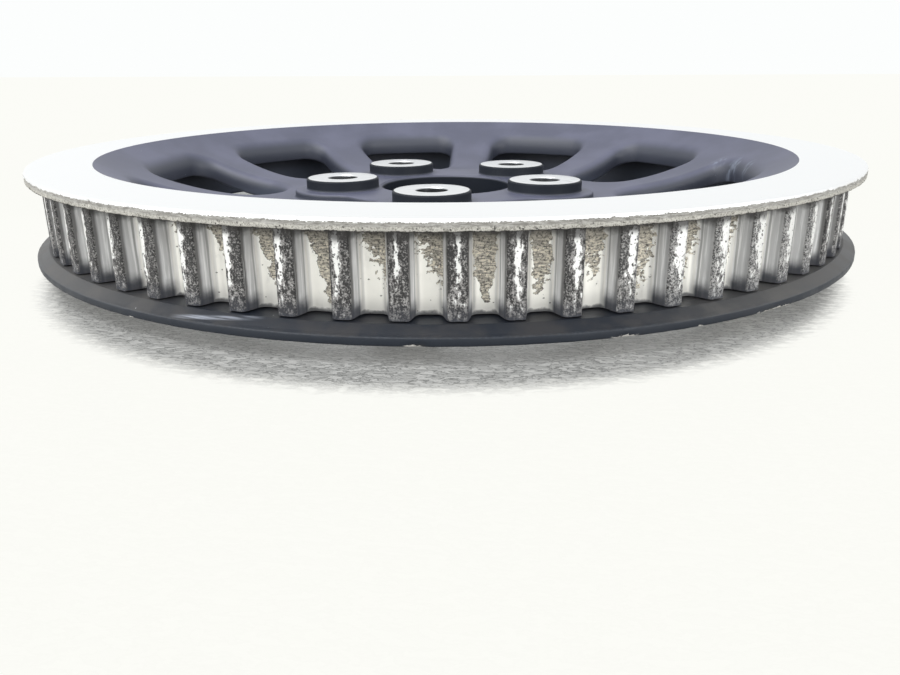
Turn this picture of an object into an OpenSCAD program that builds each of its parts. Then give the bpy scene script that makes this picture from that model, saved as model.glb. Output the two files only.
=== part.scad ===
// Rear drive pulley: a cast and machined belt wheel with a pressed-on inner flange ring.
// Z is the wheel axis and z = 0 is the rear face of the hub, the face that bolts to the road wheel.

/* [Belt teeth] */
// Number of teeth round the rim
tooth_count = 66; // [60:1:72]
// Distance from one tooth to the next along the belt's pitch line
tooth_pitch = 14; // [13:0.5:15]
// Depth of the belt's pitch line below which the tooth crests lie
crest_drop = 1.4; // [1:0.1:2]
// Depth of a groove from the tooth crest to its floor
groove_depth = 5.9; // [4.5:0.1:6.5]
// Width of a tooth crest before its edges are rounded
crest_w = 4.7; // [3.5:0.1:5.5]
// Slope of a tooth flank from the tooth's own centre line
flank_angle = 13; // [8:1:18]
// Radius of the fillet where a flank meets the groove floor
root_fillet = 1.8; // [1:0.1:2]
// Radius of the rounding along each edge of a crest
crest_round = 0.8; // [0.4:0.1:1.2]

/* [Rim] */
// Width of the belt track between the two flanges
track_w = 21.8; // [20:0.2:30]
// Thickness of the outer flange at its edge
flange_t = 3.1; // [1.8:0.1:4]
// How far the outer flange stands out past the tooth crests
flange_reach = 4.4; // [3:0.05:9]
// Slope of the outer flange's belt side
flange_slope = 10; // [4:1:15]
// Radial width of the rim from the groove floor to the inner edge of the machined face
rim_w = 10.5; // [8:0.5:14]
// Radial thickness of the rim below the web
rim_wall = 8; // [6:0.5:9]
// Bevel round the edge of the outer flange
flange_bevel = 0.8; // [0.2:0.1:1.2]

/* [Inner flange ring] */
// How far the ring stands out past the tooth crests
ring_reach = 4.5; // [3.5:0.05:8]
// Thickness of the ring where it seats on the rim
ring_t = 4.45; // [3.5:0.05:6]
// Drop of the ring's belt side from the crests to its outer edge
ring_fall = 2; // [0.5:0.05:2.4]
// Bevel round the ring's outer edge
ring_bevel = 0.6; // [0.2:0.1:0.8]
// Radial clearance between the ring's bore and the rim's spigot
ring_fit = 0.05; // [0.02:0.01:0.1]
// Depth of the spigot below the groove floor
spigot_step = 2.7; // [2:0.1:4]
// Gap between the feet of the teeth and the ring
foot_gap = 0.4; // [0.2:0.1:0.8]
// Radial width of the shoulder that the ring seats against
shoulder_w = 1.5; // [1:0.1:2]

/* [Web and windows] */
// Height of the hub's end of the web above the rear face
web_top = 17.3; // [15:0.1:19]
// Thickness of the web
web_t = 8; // [6:0.5:10]
// Radius at which the web starts to rise towards the rim
dish_r = 66; // [62:1:72]
// Number of windows through the web
window_count = 10; // [8:1:10]
// Radius of the hub end of a window
window_in_r = 69; // [67:0.5:74]
// Rounding at the hub end of a window
window_end_r = 17; // [12:0.5:17]
// Distance from a window's rim end to the inner edge of the machined face
window_margin = 13.25; // [10:0.25:18]
// Rounding of a window's corners at the rim
window_corner_r = 7.5; // [5:0.5:9]
// Width of a spoke at its rim end
spoke_w = 22; // [18:0.5:26]

/* [Hub] */
// Radius of the centre bore
bore_r = 25.4; // [22:0.1:28]
// Outer radius of the hub at the rear face
hub_r = 62; // [56:0.5:64]
// Height of the hub's plateau above the rear face
plateau_z = 20.3; // [19:0.1:22]
// Radius of the plateau between the bolt bosses
plateau_r = 46; // [42:0.5:50]
// Radius of the plateau's lobe round each bolt boss
lobe_r = 18.5; // [16:0.5:20]
// Radius of the hollow fillet between a lobe and the plateau
lobe_fillet = 8; // [4:0.5:12]
// Bevel at both ends of the centre bore
bore_bevel = 1; // [0.5:0.1:2]

/* [Bolt bosses] */
// Number of bolt holes
bolt_count = 5; // [4:1:5]
// Diameter of the bolt circle
bolt_circle = 82.55; // [80:0.05:90]
// Radius of a bolt hole
bolt_r = 5.65; // [4:0.05:6.5]
// Radius of a boss
boss_r = 14; // [12:0.1:15]
// Height of the boss tops above the rear face
boss_z = 24.4; // [23:0.1:26]
// Bevel round a boss's top edge
boss_bevel = 0.6; // [0.3:0.1:1]
// Bevel at both ends of a bolt hole
bolt_bevel = 0.5; // [0.3:0.1:1]

/* [Heights] */
// Height of the ring's underside above the rear face
ring_z = 4.8; // [2:0.1:8]

/* [Hidden] */
// A cut runs this far past the face that it opens
cut_past = 1;
// Steps along the arc at a tooth's root
root_steps = 4;
// Steps along the rounding of a crest's edge
crest_steps = 3;
// Steps along the round end of a lobe, and along each arc between two lobes
lobe_steps = 20;
plateau_steps = 6;
// Turn of the first bolt hole
front = -90;

tip_r = tooth_count * tooth_pitch / (2 * PI) - crest_drop;
floor_r = tip_r - groove_depth;
flange_r = tip_r + flange_reach;
face_in_r = floor_r - rim_w;
rim_in_r = floor_r - rim_wall;
rim_mid_r = floor_r - rim_wall / 2;
window_out_r = face_in_r - window_margin;

seat_z = ring_z + ring_t;
flange_under_z = seat_z + track_w + (flange_r - tip_r) * tan(flange_slope);
top_z = flange_under_z + flange_t;
teeth_z = seat_z + foot_gap;

spigot_r = floor_r - spigot_step;
shoulder_r = spigot_r + shoulder_w;
flange_root_z = flange_under_z - (flange_r - shoulder_r) * tan(flange_slope);
ring_in_r = spigot_r + ring_fit;
ring_r = tip_r + ring_reach;
ring_flat_r = tip_r + ring_bevel;
ring_edge_z = seat_z - ring_fall;

// The web's top face is one arc that leaves the hub level and meets the machined face
dish_run = face_in_r - dish_r;
dish_rise = top_z - web_top;
dish_arc = (dish_run * dish_run + dish_rise * dish_rise) / (2 * dish_rise);
web_under = web_top - web_t;

bolt_circle_r = bolt_circle / 2;
blank_in_r = bore_r - 2 * cut_past;
window_step = 360 / window_count;

function polar(rad, turn) = [rad * cos(turn), rad * sin(turn)];
function flip(p) = [p[0], -p[1]];
function spin(p, turn) = [p[0] * cos(turn) - p[1] * sin(turn), p[0] * sin(turn) + p[1] * cos(turn)];
// Points along an arc, both ends included
function arc(centre, rad, from, to, steps) =
    [for (i = [0 : steps]) centre + polar(rad, from + (to - from) * i / steps)];

// Turn of the centre of a circle that touches a tooth's flank, at the distance rad from the wheel's
// axis; off is the circle's radius, negative for a circle inside the tooth
function flank_side(rad, off) =
    asin((off + tip_r * sin(flank_angle) + crest_w / 2 * cos(flank_angle)) / rad) - flank_angle;
root_turn = flank_side(floor_r + root_fillet, root_fillet);
crest_turn = flank_side(tip_r - crest_round, -crest_round);

// Upper half of one tooth that points along +X, from the groove floor to the middle of the crest
root_arc = arc(polar(floor_r + root_fillet, root_turn), root_fillet,
               root_turn + 180, 270 - flank_angle, root_steps);
crest_arc = arc(polar(tip_r - crest_round, crest_turn), crest_round,
                90 - flank_angle, crest_turn, crest_steps);
half_tooth = concat(root_arc, crest_arc);
other_half = [for (i = [1 : len(half_tooth)]) flip(half_tooth[len(half_tooth) - i])];
// A groove lies over the bolt hole at the front, so the teeth stand half a step to either side of it
tooth_turns = [for (i = [0 : tooth_count - 1]) front - (i + 0.5) * 360 / tooth_count];

// The toothed belt track, from the feet of the teeth up into the outer flange
module belt_track() {
    translate([0, 0, teeth_z])
        linear_extrude(height = flange_under_z - teeth_z)
            polygon([for (turn = tooth_turns, p = concat(half_tooth, other_half)) spin(p, turn)]);
}

// Half section of everything that is turned about the wheel's axis, before the bore, the dish and
// the hollow behind the web are cut
module blank_section() {
    polygon([
        [blank_in_r, 0],
        [hub_r, 0],
        [hub_r, ring_z],
        [spigot_r - flange_bevel, ring_z],
        [spigot_r, ring_z + flange_bevel],
        [spigot_r, seat_z],
        [shoulder_r, seat_z],
        [shoulder_r, flange_root_z],
        [flange_r, flange_under_z],
        [flange_r, top_z - flange_bevel],
        [flange_r - flange_bevel, top_z],
        [dish_r, top_z],
        [dish_r, web_top],
        [blank_in_r, web_top]
    ]);
}

// What the dish takes from the section on the outer side
module dish_cut() {
    intersection() {
        translate([dish_r, web_top + dish_arc])
            circle(r = dish_arc, $fn = 720);
        translate([dish_r - cut_past, 0])
            square([face_in_r - dish_r + 2 * cut_past, top_z + cut_past]);
    }
}

// What the hollow behind the web takes from the section
module back_cut() {
    difference() {
        polygon([
            [hub_r, ring_z - cut_past],
            [rim_in_r, ring_z - cut_past],
            [rim_in_r, top_z],
            [dish_r, top_z],
            [dish_r, web_under],
            [hub_r, web_under]
        ]);
        translate([dish_r, web_top + dish_arc])
            circle(r = dish_arc + web_t, $fn = 720);
    }
}

module turned_body() {
    rotate_extrude($fn = 360)
        difference() {
            blank_section();
            dish_cut();
            back_cut();
        }
}

// One window's outline, pointing along +X: round at the hub, cornered at the rim
module window_outline() {
    in_c = [window_in_r + window_end_r, 0];
    corner_rad = window_out_r - window_corner_r;
    corner_turn = window_step / 2 - asin((spoke_w / 2 + window_corner_r) / corner_rad);
    corner_c = polar(corner_rad, corner_turn);
    span = corner_c - in_c;
    lean = atan2(span[1], span[0]) + acos((window_end_r - window_corner_r) / norm(span));
    side_in = in_c + polar(window_end_r, lean);
    side_out = corner_c + polar(window_corner_r, lean);
    past = polar(window_out_r + window_corner_r, corner_turn);
    intersection() {
        circle(r = window_out_r, $fn = 360);
        union() {
            translate(in_c)
                circle(r = window_end_r, $fn = 96);
            for (side = [0, 1])
                mirror([0, side])
                    translate(corner_c)
                        circle(r = window_corner_r, $fn = 64);
            polygon([flip(side_in), flip(side_out), flip(corner_c), flip(past),
                     past, corner_c, side_out, side_in]);
        }
    }
}

module windows() {
    for (i = [0 : window_count - 1])
        rotate(front + (i + 0.5) * window_step)
            translate([0, 0, -cut_past])
                linear_extrude(height = top_z + 2 * cut_past)
                    window_outline();
}

// Places its children at each bolt hole, the first at the front
module at_bolts() {
    for (i = [0 : bolt_count - 1])
        rotate(front + i * 360 / bolt_count)
            translate([bolt_circle_r, 0, 0])
                children();
}

// The hub's flat plateau, with a lobe round each bolt boss
module plateau() {
    bolt_step = 360 / bolt_count;
    fillet_rad = plateau_r + lobe_fillet;
    fillet_turn = acos((fillet_rad * fillet_rad + bolt_circle_r * bolt_circle_r
                        - pow(lobe_r + lobe_fillet, 2)) / (2 * fillet_rad * bolt_circle_r));
    fillet_c = polar(fillet_rad, fillet_turn);
    lobe_turn = atan2(fillet_c[1], fillet_c[0] - bolt_circle_r);
    one_lobe = concat(
        arc(flip(fillet_c), lobe_fillet, 180 - fillet_turn, 180 - lobe_turn, plateau_steps),
        arc([bolt_circle_r, 0], lobe_r, -lobe_turn, lobe_turn, lobe_steps),
        arc(fillet_c, lobe_fillet, 180 + lobe_turn, 180 + fillet_turn, plateau_steps),
        arc([0, 0], plateau_r, fillet_turn, bolt_step - fillet_turn, plateau_steps));
    translate([0, 0, web_under])
        linear_extrude(height = plateau_z - web_under)
            polygon([for (i = [0 : bolt_count - 1], p = one_lobe) spin(p, front + i * bolt_step)]);
}

// A bolt boss with a bevelled top edge
module boss() {
    rotate_extrude($fn = 96)
        polygon([
            [0, web_under],
            [boss_r, web_under],
            [boss_r, boss_z - boss_bevel],
            [boss_r - boss_bevel, boss_z],
            [0, boss_z]
        ]);
}

// A hole from the rear face up to top, with a bevel at both ends
module bevelled_hole(rad, top, bevel, sides) {
    rotate_extrude($fn = sides)
        polygon([
            [0, -bevel],
            [rad + 2 * bevel, -bevel],
            [rad, bevel],
            [rad, top - bevel],
            [rad + 2 * bevel, top + bevel],
            [0, top + bevel]
        ]);
}

module pulley() {
    color([0.78, 0.79, 0.80])
        difference() {
            union() {
                turned_body();
                difference() {
                    belt_track();
                    cylinder(r = rim_mid_r, h = top_z, $fn = 360);
                }
                plateau();
                at_bolts() boss();
            }
            bevelled_hole(bore_r, plateau_z, bore_bevel, 180);
            at_bolts() bevelled_hole(bolt_r, boss_z, bolt_bevel, 64);
            windows();
        }
}

module flange_ring() {
    color([0.16, 0.17, 0.20])
        rotate_extrude($fn = 360)
            polygon([
                [ring_in_r, ring_z],
                [ring_r - ring_bevel, ring_z],
                [ring_r, ring_z + ring_bevel],
                [ring_r, ring_edge_z - ring_bevel],
                [ring_r - ring_bevel, ring_edge_z],
                [ring_flat_r, seat_z],
                [ring_in_r, seat_z]
            ]);
}

pulley();
flange_ring();
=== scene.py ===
"""The look of a rear drive pulley: a toothed wheel of machined aluminium, painted spokes and a black ring at its foot.

Sizes are in millimetres and turns in degrees, as on a workshop drawing, and every mesh is made in metres. The wheel's
axis is Z, and the turn of -90 degrees is where the front bolt hole lies.
"""

import logging
import math
from collections.abc import Callable
from dataclasses import dataclass, field
from enum import Enum

import bmesh
import bpy
import numpy as np
from mathutils import Matrix, Vector


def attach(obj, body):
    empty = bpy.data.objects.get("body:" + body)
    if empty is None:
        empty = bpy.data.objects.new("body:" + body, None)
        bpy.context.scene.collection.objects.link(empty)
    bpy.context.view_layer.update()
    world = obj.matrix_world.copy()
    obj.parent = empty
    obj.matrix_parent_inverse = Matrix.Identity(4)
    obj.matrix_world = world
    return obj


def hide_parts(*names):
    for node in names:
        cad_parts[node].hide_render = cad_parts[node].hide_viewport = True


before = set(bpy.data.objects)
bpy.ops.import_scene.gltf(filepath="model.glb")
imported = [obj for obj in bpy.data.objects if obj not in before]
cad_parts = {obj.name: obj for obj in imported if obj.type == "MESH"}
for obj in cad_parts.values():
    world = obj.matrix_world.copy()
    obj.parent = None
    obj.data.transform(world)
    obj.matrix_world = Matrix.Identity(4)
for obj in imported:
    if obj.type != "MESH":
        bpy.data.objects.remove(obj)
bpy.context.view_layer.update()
METRE = 0.001
ORIGIN = (0.0, 0.0, 0.0)
LOG = logging.getLogger("rear_drive_pulley")

Socket = bpy.types.NodeSocket
Triple = tuple[float, float, float]
Colour = Triple


def polar(radius: np.ndarray | float, turn: np.ndarray | float) -> np.ndarray:
    """Points on the plane from radii and turns in degrees."""
    angle = np.radians(turn)
    return np.stack([radius * np.cos(angle), radius * np.sin(angle)], -1)


def sweep(start: float, end: float, steps: int) -> np.ndarray:
    """Evenly spaced values from start to end, both ends included."""
    return np.linspace(start, end, steps + 1)


def rounding(steps: int) -> list[tuple[float, float]]:
    """Steps along a quarter circle of radius 1, as the distances to its two tangents: from (1, 0) to (0, 1)."""
    return [(1 - math.sin(angle), 1 - math.cos(angle)) for angle in np.radians(sweep(0, 90, steps))]


# Node building


def sign(operation: str, swapped: bool = False) -> Callable:
    """A method that adds a Math node for an arithmetic sign, with its two numbers swapped if it stands on the right."""

    def apply(flow: "Flow", *other: "Value") -> "Flow":
        return flow.graph.math(operation, *((*other, flow) if swapped else (flow, *other)))

    return apply


class Flow:
    """A number on its way through a node tree, so that a pattern reads as a formula."""

    __add__, __mul__, __pow__, __abs__ = sign("ADD"), sign("MULTIPLY"), sign("POWER"), sign("ABSOLUTE")
    __sub__, __rsub__ = sign("SUBTRACT"), sign("SUBTRACT", swapped=True)
    __truediv__, __rtruediv__ = sign("DIVIDE"), sign("DIVIDE", swapped=True)

    def __init__(self, graph: "Graph", socket: Socket) -> None:
        """Keeps the socket that gives the number."""
        self.graph, self.socket = graph, socket

    def rise(self, low: "Value", high: "Value") -> "Flow":
        """0 below low and 1 above high, with a smooth rise between them; high may be the lower one."""
        feeds = {"Value": self, "From Min": low, "From Max": high}
        made = self.graph.node("ShaderNodeMapRange", feeds, interpolation_type="SMOOTHSTEP", clamp=True)
        return Flow(self.graph, made.outputs["Result"])

    def near(self, centre: float, reach: float, soft: float) -> "Flow":
        """1 where the number lies within reach of the centre, fading out over soft."""
        return abs(self - centre).rise(reach + soft, reach)

    def mix(self, first: Colour | Socket, second: Colour | Socket) -> Socket:
        """Colour that goes from first to second with this number."""
        return self.graph.node("ShaderNodeMix", {0: self, 6: first, 7: second}, data_type="RGBA").outputs[2]

    def blend(self, first: "Value", second: "Value") -> "Flow":
        """Number that goes from first to second with this one."""
        made = self.graph.node("ShaderNodeMix", {0: self, 2: first, 3: second}, data_type="FLOAT")
        return Flow(self.graph, made.outputs[0])


Value = float | Flow | Socket


class Graph:
    """Adds nodes to one tree and links them."""

    spot: Socket

    def __init__(self, tree: bpy.types.NodeTree) -> None:
        """Keeps the tree that the nodes go into."""
        self.tree = tree

    def node(self, kind: str, feeds: dict | None = None, **settings: object) -> bpy.types.Node:
        """Adds a node.

        Args:
            kind: the node's type.
            feeds: what goes into its inputs, by their names or numbers.
            settings: the node's properties.
        """
        made = self.tree.nodes.new(kind)
        for name, value in settings.items():
            setattr(made, name, value)
        for name, value in (feeds or {}).items():
            self.feed(made.inputs[name], value)
        return made

    def feed(self, socket: Socket, value: object) -> None:
        """Links a socket or a number to the input, or writes a constant on it."""
        value = value.socket if isinstance(value, Flow) else value
        if isinstance(value, bpy.types.NodeSocket):
            self.tree.links.new(value, socket)
        else:
            socket.default_value = (*value, 1.0) if socket.type == "RGBA" else value

    def given(self) -> dict[str, Flow | Socket]:
        """What the inputs of the tree itself give, by name."""
        outputs = self.node("NodeGroupInput").outputs
        return {socket.name: Flow(self, socket) if socket.type in ("VALUE", "INT") else socket for socket in outputs}

    def math(self, operation: str, *values: Value, clamp: bool = False) -> Flow:
        """Result of a Math node."""
        made = self.node("ShaderNodeMath", dict(enumerate(values)), operation=operation, use_clamp=clamp)
        return Flow(self, made.outputs[0])

    def most(self, *values: Value) -> Flow:
        """Largest of all values."""
        largest = values[0]
        for value in values[1:]:
            largest = self.math("MAXIMUM", largest, value)
        return largest

    def vector(self, operation: str, first: object, second: object) -> Socket:
        """Result of a Vector Math node."""
        feeds = {0: first, "Scale" if operation == "SCALE" else 1: second}
        return self.node("ShaderNodeVectorMath", feeds, operation=operation).outputs["Vector"]

    def distance(self, first: Socket, second: Triple = ORIGIN) -> Flow:
        """Distance between two places."""
        made = self.node("ShaderNodeVectorMath", {0: first, 1: second}, operation="DISTANCE")
        return Flow(self, made.outputs["Value"])

    def xyz(self, x: Value, y: Value, z: Value) -> Socket:
        """A vector from three values."""
        return self.node("ShaderNodeCombineXYZ", {0: x, 1: y, 2: z}).outputs[0]

    def split(self, place: Socket) -> list[Flow]:
        """The three values of a vector."""
        return [Flow(self, part) for part in self.node("ShaderNodeSeparateXYZ", {0: place}).outputs]

    def where(self, kind: str) -> Socket:
        """Texture coordinates."""
        return self.node("ShaderNodeTexCoord").outputs[kind]

    def ray(self, kind: str) -> Flow:
        """1 for rays of a kind."""
        return Flow(self, self.node("ShaderNodeLightPath").outputs[kind])

    def noise(
        self, grain: float, detail: float = 3.0, rough: float = 0.55,
        place: Socket | None = None, stretch: Triple | None = None,
    ) -> Flow:
        """Soft random pattern.

        Args:
            grain: size of its features, in the unit of the place.
            detail: number of finer layers.
            rough: how much the finer layers show.
            place: where the pattern is read, the graph's own spot if it isn't given.
            stretch: factors for the place; below 1 they draw the pattern out.
        """
        place = self.spot if place is None else place
        place = self.vector("MULTIPLY", place, stretch) if stretch else place
        feeds = {"Vector": place, "Scale": 1.0 / grain, "Detail": detail, "Roughness": rough}
        return Flow(self, self.node("ShaderNodeTexNoise", feeds).outputs["Fac"])


def shader_group(name: str, inputs: dict[str, object], outputs: dict[str, str]) -> tuple[Graph, dict, dict]:
    """Starts a shader node group.

    Args:
        name: the group's name.
        inputs: each input's default value, a number or a vector of three.
        outputs: each output's socket type.

    Returns:
        The graph, what its inputs give and its output sockets, by name.
    """
    tree = bpy.data.node_groups.new(name, "ShaderNodeTree")
    for label, value in inputs.items():
        kind = "NodeSocketVector" if isinstance(value, tuple) else "NodeSocketFloat"
        tree.interface.new_socket(name=label, in_out="INPUT", socket_type=kind).default_value = value
    for label, kind in outputs.items():
        tree.interface.new_socket(name=label, in_out="OUTPUT", socket_type=kind)
    graph = Graph(tree)
    return graph, graph.given(), {s.name: s for s in graph.node("NodeGroupOutput").inputs if s.name}


class Patterns:
    """Shader node groups that several finishes use."""

    def __init__(self) -> None:
        """Builds each group once."""
        self.place, self.pits, self.streaks = self._place(), self._pits(), self._streaks()

    @staticmethod
    def _place() -> bpy.types.NodeTree:
        """Place on the wheel: millimetres, radius, turn in degrees and height."""
        outputs = {"Spot": "NodeSocketVector"} | dict.fromkeys(("Radius", "Turn", "Height"), "NodeSocketFloat")
        graph, given, out = shader_group("wheel_place", {"Place": ORIGIN}, outputs)
        spot = graph.vector("SCALE", given["Place"], 1 / METRE)
        x, y, z = graph.split(spot)
        turn = graph.math("DEGREES", graph.math("ARCTAN2", y, x))
        radius = graph.distance(graph.xyz(x, y, 0.0))
        for name, value in (("Spot", spot), ("Radius", radius), ("Turn", turn), ("Height", z)):
            graph.feed(out[name], value)
        return graph.tree

    @staticmethod
    def _pits() -> bpy.types.NodeTree:
        """Scattered ragged pits: a mask of 1 inside them."""
        inputs = {"Spot": ORIGIN, "Spacing": 1.0, "Share": 0.2, "Size": 0.3}
        graph, given, out = shader_group("pits", inputs, {"Mask": "NodeSocketFloat"})
        ragged = graph.node("ShaderNodeTexNoise", {"Vector": given["Spot"], "Scale": 2.5}).outputs["Color"]
        jitter = graph.vector("SCALE", graph.vector("SUBTRACT", ragged, (0.5, 0.5, 0.5)), 0.5)
        feeds = {"Vector": graph.vector("ADD", given["Spot"], jitter), "Scale": 1.0 / given["Spacing"]}
        cells = graph.node("ShaderNodeTexVoronoi", feeds).outputs
        chance, other, _ = graph.split(cells["Color"])
        size = given["Size"] * (other + 0.5)
        inside = Flow(graph, cells["Distance"]).rise(size, size * 0.6)
        graph.feed(out["Mask"], inside * graph.math("LESS_THAN", chance, given["Share"]))
        return graph.tree

    @staticmethod
    def _streaks() -> bpy.types.NodeTree:
        """A pattern drawn out along the wheel's axis or round it, as a value from 0 to 1."""
        inputs = {"Spot": ORIGIN, "Across": 0.5, "Up": 12.0}
        graph, given, out = shader_group("streaks", inputs, {"Value": "NodeSocketFloat"})
        across, up = 1.0 / given["Across"], 1.0 / given["Up"]
        place = graph.vector("MULTIPLY", given["Spot"], graph.xyz(across, across, up))
        graph.feed(out["Value"], graph.noise(1.0, 4.0, 0.6, place))
        return graph.tree


class Canvas(Graph):
    """The node tree of one finish: its shader, the place on the wheel and the shared patterns."""

    def __init__(self, tree: bpy.types.NodeTree, patterns: Patterns) -> None:
        """Clears the tree and gives it a Principled shader and the place."""
        super().__init__(tree)
        tree.nodes.clear()
        self.patterns = patterns
        self.shader = self.node("ShaderNodeBsdfPrincipled")
        self.outlet = self.node("ShaderNodeOutputMaterial", {"Surface": self.shader.outputs["BSDF"]})
        place = self.node("ShaderNodeGroup", {"Place": self.where("Object")}, node_tree=patterns.place).outputs
        self.spot = place["Spot"]
        self.radius, self.turn, self.height = (Flow(self, place[name]) for name in ("Radius", "Turn", "Height"))

    def pits(self, spacing: float, share: float, size: float, stretch: Triple | None = None) -> Flow:
        """Mask of scattered pits: their spacing, the share of places that hold one, and their size in spacings."""
        spot = self.vector("MULTIPLY", self.spot, stretch) if stretch else self.spot
        feeds = {"Spot": spot, "Spacing": spacing, "Share": share, "Size": size}
        return Flow(self, self.node("ShaderNodeGroup", feeds, node_tree=self.patterns.pits).outputs[0])

    def streaks(self, across: float, up: float) -> Flow:
        """Streaks of about the given width and height."""
        feeds = {"Spot": self.spot, "Across": across, "Up": up}
        return Flow(self, self.node("ShaderNodeGroup", feeds, node_tree=self.patterns.streaks).outputs[0])

    def stored(self, name: str) -> Flow:
        """A value that the mesh holds on its points."""
        return Flow(self, self.node("ShaderNodeAttribute", attribute_name=name).outputs["Fac"])

    def paint(self, **values: object) -> None:
        """Feeds the shader's inputs; an underscore in a name stands for a space."""
        for name, value in values.items():
            self.feed(self.shader.inputs[name.replace("_", " ")], value)

    def relief(self, height: Flow, depth: float, strength: float = 1.0) -> Socket:
        """Gives the shader a height from 0 to 1 as relief of a depth in millimetres, and returns its normal."""
        feeds = {"Strength": strength, "Distance": depth * METRE, "Height": height}
        normal = self.node("ShaderNodeBump", feeds).outputs["Normal"]
        self.paint(Normal=normal)
        return normal


# Finishes


class Finish:
    """A procedural material; each kind of finish draws its own nodes."""

    name = "finish"

    def material(self, patterns: Patterns) -> bpy.types.Material:
        """Makes the material and lets the finish draw on it."""
        made = bpy.data.materials.new(self.name)
        made.use_nodes = True
        self.draw(Canvas(made.node_tree, patterns))
        return made

    def draw(self, canvas: Canvas) -> None:
        """Draws the finish's own pattern."""
        raise NotImplementedError


@dataclass(frozen=True)
class WebPaint(Finish):
    """Satin slate paint of the web, the spokes and the hub, with pale smears; painted shade darkens faces that slope
    steeply, the boss sides and the bore wall, and the lowest walls get a lighter painted lift.
    """

    name: str = "web_paint"
    colour: Colour = (0.060, 0.065, 0.104)
    pale: Colour = (0.086, 0.091, 0.140)
    steep_shade: Colour = (0.026, 0.031, 0.046)
    deep_painted_lift: Colour = (0.062, 0.074, 0.108)
    bare: Colour = (0.42, 0.45, 0.52)
    smear: Colour = (0.22, 0.255, 0.33)
    dull: Colour = (0.010, 0.013, 0.020)
    roughness: float = 0.50
    deep_from: float = 17.0
    deep_to: float = 12.0
    bore: float = 25.4
    boss_end: float = 56.5
    boss_foot: float = 20.3
    smears: tuple[Triple, ...] = (
        (110.7, 26.7, 4.5), (114.5, 18.0, 4.5), (117.5, 6.0, 3.5), (61.5, 51.0, 3.0),
    )

    def draw(self, canvas: Canvas) -> None:
        """Soft mottling, an orange-peel surface, fine specks, smears by their place and reach, and painted shade and a
        painted lift by slope, height and place.
        """
        radius, height = canvas.radius, canvas.height
        mottled = canvas.noise(22.0, 4.0)
        flat = canvas.vector("MULTIPLY", canvas.spot, (1.0, 1.0, 0.0))
        spots = (canvas.distance(flat, (x, y, 0.0)).rise(reach, reach * 0.3) for x, y, reach in self.smears)
        drawn = canvas.noise(1.0, 2.0, 0.5, stretch=(0.55, 0.55, 0.12))
        marks = canvas.most(*spots) * drawn.rise(0.40, 0.68) * 0.5
        upward = canvas.split(canvas.where("Normal"))[2]
        tone = mottled.rise(0.35, 0.7).mix(self.colour, self.pale)
        # Painted shade: faces that turn away from up are darker.
        tone = (upward.rise(0.86, 0.42) * 0.84).mix(tone, self.steep_shade)
        # Painted lift: low walls, as seen through the windows, are lighter than the painted shade above them.
        tone = height.rise(self.deep_from, self.deep_to).mix(tone, self.deep_painted_lift)
        # Painted shade: the boss sides and the bore wall take the dull tone.
        bosses = radius.rise(self.boss_end + 0.6, self.boss_end)
        bosses = bosses * height.rise(self.boss_foot + 0.2, self.boss_foot + 1.0)
        dull = canvas.most(bosses, radius.rise(self.bore + 0.5, self.bore + 0.2))
        tone = (canvas.pits(3.4, 0.06, 0.045) * 0.5).mix(dull.mix(tone, self.dull), self.bare)
        canvas.paint(
            Base_Color=marks.mix(tone, self.smear),
            Roughness=mottled.blend(self.roughness - 0.05, self.roughness + 0.07),
            Specular_IOR_Level=dull.blend(0.6, 0.2),
        )
        canvas.relief(canvas.noise(0.9, 2.0) - marks * 0.5, 0.03, 0.6)


@dataclass(frozen=True)
class BareMetal(Finish):
    """Turned aluminium of the boss tops, the bolt holes and the hub's rear face."""

    name: str = "turned_aluminium"
    colour: Colour = (0.80, 0.81, 0.83)
    dull: Colour = (0.52, 0.53, 0.53)
    inside: Colour = (0.17, 0.175, 0.185)
    roughness: float = 0.3
    face: float = 24.4

    def draw(self, canvas: Canvas) -> None:
        """Fine turning marks, a little staining, and painted shade inside the bolt holes."""
        stain = canvas.noise(5.0, 5.0).rise(0.5, 0.75)
        tone = canvas.most(stain * 0.5, canvas.pits(1.7, 0.12, 0.12)).mix(self.colour, self.dull)
        # Painted shade: the bolt holes below the face take the inside tone.
        below = canvas.height.rise(self.face - 0.10, self.face - 0.45)
        roughness = stain.blend(self.roughness, self.roughness + 0.2)
        canvas.paint(Base_Color=below.mix(tone, self.inside), Metallic=1.0, Roughness=roughness)
        canvas.relief(canvas.noise(0.12, 2.0, place=canvas.xyz(canvas.radius, 0.0, canvas.height)), 0.01, 0.5)


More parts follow.
